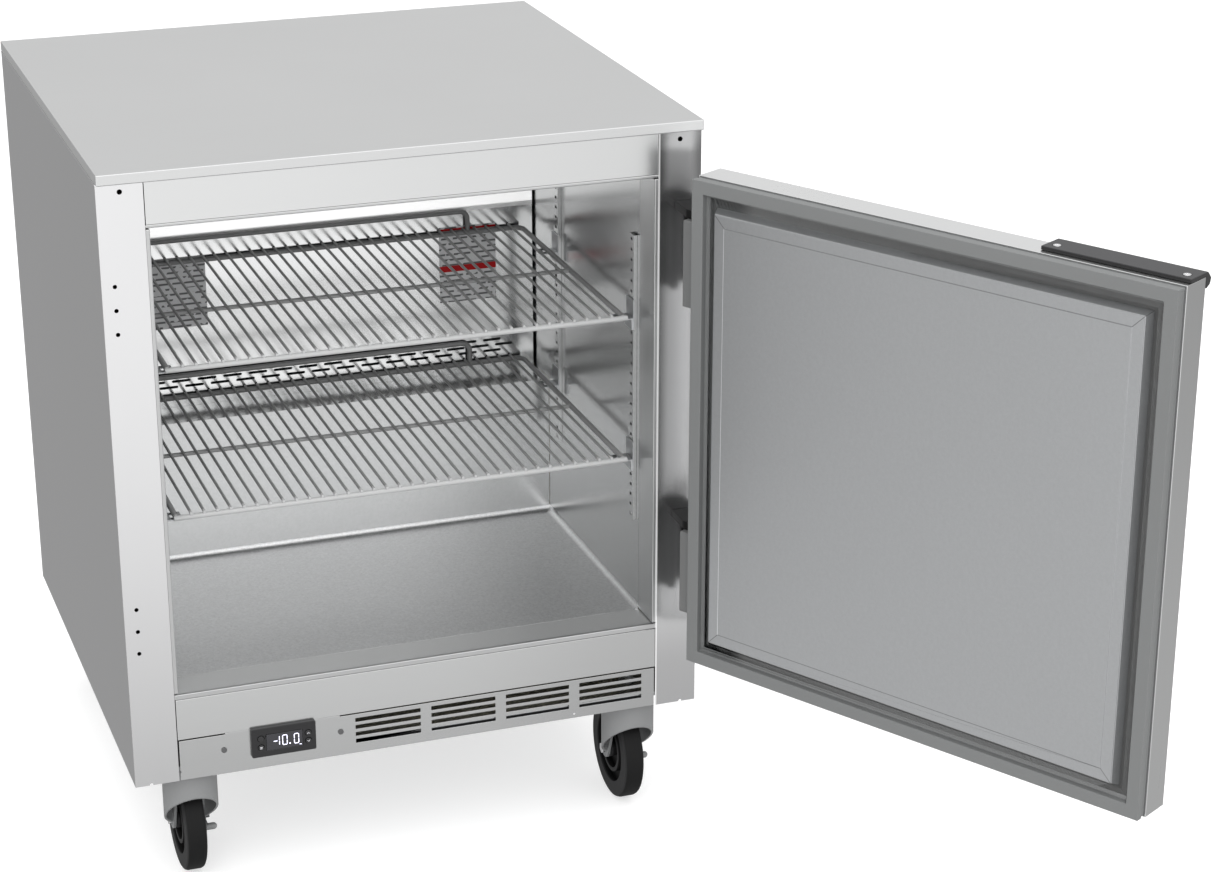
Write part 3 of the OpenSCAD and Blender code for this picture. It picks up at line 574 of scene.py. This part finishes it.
def display_digits():
    """A minus sign, three digits, a decimal point and a small dash."""
    s = Shader("display_glow", (0.80, 0.80, 0.95), 0.5)
    s.tint(s.weigh((s.noise((700, 700, 700), 1.0), 0.06)))
    s.set("Emission Color", (0.78, 0.78, 1.0, 1.0))
    s.set("Emission Strength", 0.9)
    bm = bmesh.new()
    segment(bm, -180.6, 186.2, -176.6, 186.2, SEGMENT_W, *LIT_Y)
    digit(bm, -174.0, -174.0, 180.6, 192.2, "bc")
    digit(bm, -170.2, -164.9, 180.2, 192.4, "abcdef")
    digit(bm, -156.4, -151.2, 179.8, 192.0, "abcdef")
    block(bm, -162.5, -160.9, 180.0, 181.6, *LIT_Y)
    block(bm, -150.6, -147.8, 177.4, 178.1, *LIT_Y)
    new_object("display_digits", bm, s.mat, "cabinet")


def base_pan_lip():
    """The base pan's folded front edge, behind the grille."""
    bm = bmesh.new()
    block(bm, -286, 286, 157.5, 165.7, 4.2, 5.2)
    new_object("base_pan_lip", bm, MATERIALS["compressor"], "cabinet")


def button_icons():
    """Printed marks on three buttons: an up arrow, a down arrow and three short lines."""
    s = Shader("icon_print", (0.50, 0.50, 0.52), 0.5)
    s.tint(s.weigh((s.noise((900, 900, 900), 1.0), 0.2)))
    for body, lines in {
        "button_up_body": [(-141.0, 189.6, -139.6, 191.3), (-139.6, 191.3, -138.2, 189.6)],
        "button_down_body": [(-141.0, 181.2, -139.6, 179.5), (-139.6, 179.5, -138.2, 181.2)],
        "button_light_body": [(-197.0, 181.4, -194.2, 181.4), (-197.0, 180.3, -194.2, 180.3),
                              (-197.0, 179.2, -195.0, 179.2)],
    }.items():
        bm = bmesh.new()
        for line in lines:
            segment(bm, *line, ICON_W, *ICON_Y)
        new_object("icon_" + body.replace("_body", ""), bm, s.mat, body)


display_digits()
base_pan_lip()
button_icons()

# ---- floor, lights, camera ----

FLOOR_HALF = 30


def studio_floor():
    """A pale matt floor that reflections don't show."""
    bm = bmesh.new()
    bmesh.ops.create_grid(bm, x_segments=1, y_segments=1, size=FLOOR_HALF)
    mesh = bpy.data.meshes.new("studio_floor")
    bm.to_mesh(mesh)
    bm.free()
    floor = bpy.data.objects.new("studio_floor", mesh)
    scene.collection.objects.link(floor)
    s = Shader("studio_floor", (0.50, 0.50, 0.50), 0.9)
    s.set("Emission Color", WHITE)
    s.set("Emission Strength", 0.58)
    s.tint(s.weigh((s.noise((30, 30, 30), 2.0), 0.01)))
    floor.data.materials.append(s.mat)
    floor.visible_glossy = False


studio_floor()

world = bpy.data.worlds.new("studio")
scene.world = world
world.use_nodes = True
world_tree = world.node_tree


def wnode(kind, links, **props):
    n = world_tree.nodes.new(kind)
    for key, value in props.items():
        setattr(n, key, value)
    for key, value in links.items():
        if isinstance(value, bpy.types.NodeSocket):
            world_tree.links.new(value, n.inputs[key])
        else:
            n.inputs[key].default_value = value
    return n


def wstep(value, at_0, at_1):
    """0 at one value and 1 at the other, smooth between and flat outside."""
    return wnode("ShaderNodeMapRange", {"Value": value, "From Min": at_0, "From Max": at_1},
                 interpolation_type="SMOOTHSTEP").outputs[0]


def wmath(op, a, b=0.0):
    return wnode("ShaderNodeMath", {0: a, 1: b}, operation=op).outputs[0]


ENV_BASE, ENV_FRONT, ENV_TOP, ENV_LOW = 0.42, 0.82, 0.42, 0.28


def surroundings():
    """Bright in front and above, dimmer to the right, paler low at the sides."""
    way = wnode("ShaderNodeSeparateXYZ",
                {0: wnode("ShaderNodeTexCoord", {}).outputs["Generated"]}).outputs
    front = wmath("MULTIPLY", wstep(wmath("MULTIPLY", way[1], -1.0), -0.35, 0.75),
                  wstep(way[2], -0.50, -0.36))
    right_fade = wmath("SUBTRACT", 1.0, wmath("MULTIPLY", wstep(way[0], 0.15, 0.42), 0.37))
    front = wmath("MULTIPLY", wmath("MULTIPLY", front, right_fade), ENV_FRONT)
    top = wmath("MULTIPLY", wstep(way[2], 0.0, 0.4), ENV_TOP)
    sides = wstep(wmath("ABSOLUTE", way[0]), 0.5, 0.85)
    low = wmath("MULTIPLY", wmath("MULTIPLY", wstep(way[2], -0.27, -0.46), sides), ENV_LOW)
    total = wmath("ADD", wmath("ADD", wmath("ADD", front, top), low), ENV_BASE)
    background = world_tree.nodes["Background"]
    world_tree.links.new(total, background.inputs["Strength"])
    background.inputs["Color"].default_value = WHITE


surroundings()


def area(name, at, target, size, power):
    """A soft lamp that reflections don't show."""
    light = bpy.data.lights.new(name, "AREA")
    light.shape = "RECTANGLE"
    light.size, light.size_y = size
    light.energy = power
    obj = bpy.data.objects.new(name, light)
    scene.collection.objects.link(obj)
    obj.location = at
    obj.rotation_euler = (Vector(target) - Vector(at)).to_track_quat("-Z", "Y").to_euler()
    obj.visible_glossy = False


area("top_soft", (0, -0.6, 4.2), (0, 0, 0), (5.0, 5.0), 150)
area("key_front", (-1.2, -3.4, 3.0), (0, 0, 0.5), (2.4, 1.6), 40)

# The camera's place and its right and up directions, fitted to the cabinet's edges.
EYE = Vector((-0.8212, -2.9345, 1.7067))
RIGHT = Vector((0.9418, -0.3361, 0.0)).normalized()
ROUGH_UP = Vector((0.1259, 0.3529, 0.9271))
BACK = RIGHT.cross(ROUGH_UP).normalized()
UP = BACK.cross(RIGHT)
SENSOR_MM, LENS_MM = 36.0, 85.4718
SHIFT_X, SHIFT_Y = 0.002364, 0.040824     # shares of the frame's width

cam = bpy.data.cameras.new("camera")
cam_obj = bpy.data.objects.new("camera", cam)
scene.collection.objects.link(cam_obj)
rot = Matrix((RIGHT, UP, BACK)).transposed()
cam_obj.matrix_world = Matrix.Translation(EYE) @ rot.to_4x4()
cam.sensor_width = SENSOR_MM
cam.lens = LENS_MM
cam.shift_x = SHIFT_X
cam.shift_y = SHIFT_Y
cam.clip_end = 100
scene.camera = cam_obj

scene.view_settings.view_transform = "Standard"
scene.view_settings.look = "None"
